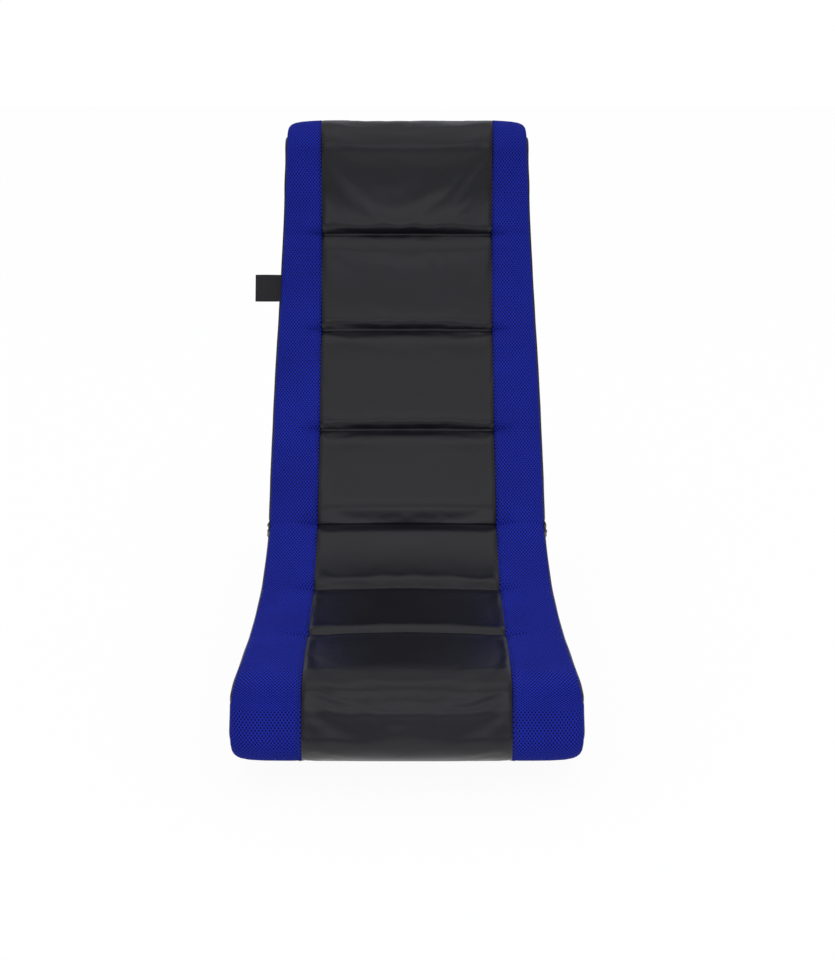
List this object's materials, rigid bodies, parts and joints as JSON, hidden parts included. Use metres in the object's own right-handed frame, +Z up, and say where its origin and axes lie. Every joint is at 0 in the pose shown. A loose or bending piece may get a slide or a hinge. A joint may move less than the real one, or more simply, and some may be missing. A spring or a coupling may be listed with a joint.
{
  "type": "floor rocker chair",
  "caption": "Folding padded floor rocker for video games: a channelled seat and back on a curved base, black with blue mesh sides.",
  "frame": {"origin": "middle of the flat of the rocker base that the chair rests on", "axes": "+X to the right of someone who looks at the chair from the front, +Y from the knees to the back, +Z up"},
  "size_m": [0.4024, 0.7309, 0.6681],
  "materials": {
    "black_vinyl": "satin",
    "blue_mesh": "matte",
    "foam": "matte",
    "pine": "matte",
    "hardboard": "matte",
    "steel": "satin",
    "black_tape": "matte"
  },
  "bodies": {
    "seat": {"seat_centre_panel": "black_vinyl", "seat_end_panel": "black_vinyl", "underside_cover": "black_vinyl", "seat_side_panel_left": "black_vinyl", "seat_side_panel_right": "black_vinyl", "seat_mesh_panel_left": "blue_mesh", "seat_mesh_panel_right": "blue_mesh", "seat_foam": "foam", "seat_side_foam_left": "foam", "seat_side_foam_right": "foam", "seat_side_board_left": "pine", "seat_side_board_right": "pine", "seat_front_rail": "pine", "seat_middle_rail": "pine", "seat_rear_rail": "pine", "seat_dowels": "pine", "seat_deck": "hardboard", "seat_hinge_plate_left": "steel", "seat_hinge_plate_right": "steel", "seat_hinge_screws": "steel", "hinge_rivet_left": "steel", "hinge_rivet_right": "steel"},
    "backrest": {"back_centre_panel": "black_vinyl", "back_end_panel": "black_vinyl", "rear_cover": "black_vinyl", "back_side_panel_left": "black_vinyl", "back_side_panel_right": "black_vinyl", "back_mesh_panel_left": "blue_mesh", "back_mesh_panel_right": "blue_mesh", "back_foam": "foam", "back_side_foam_left": "foam", "back_side_foam_right": "foam", "back_side_board_left": "pine", "back_side_board_right": "pine", "back_lower_rail": "pine", "back_middle_rail": "pine", "head_rail": "pine", "back_dowels": "pine", "back_deck": "hardboard", "back_hinge_plate_left": "steel", "back_hinge_plate_right": "steel", "back_hinge_screws": "steel", "side_label": "black_tape"}
  },
  "joints": [
    {"name": "fold", "type": "hinge", "parent": "seat", "child": "backrest", "pos_m": [0, 0.01546, 0.17276], "axis": [1, 0, 0], "range_deg": [0, 100]}
  ]
}
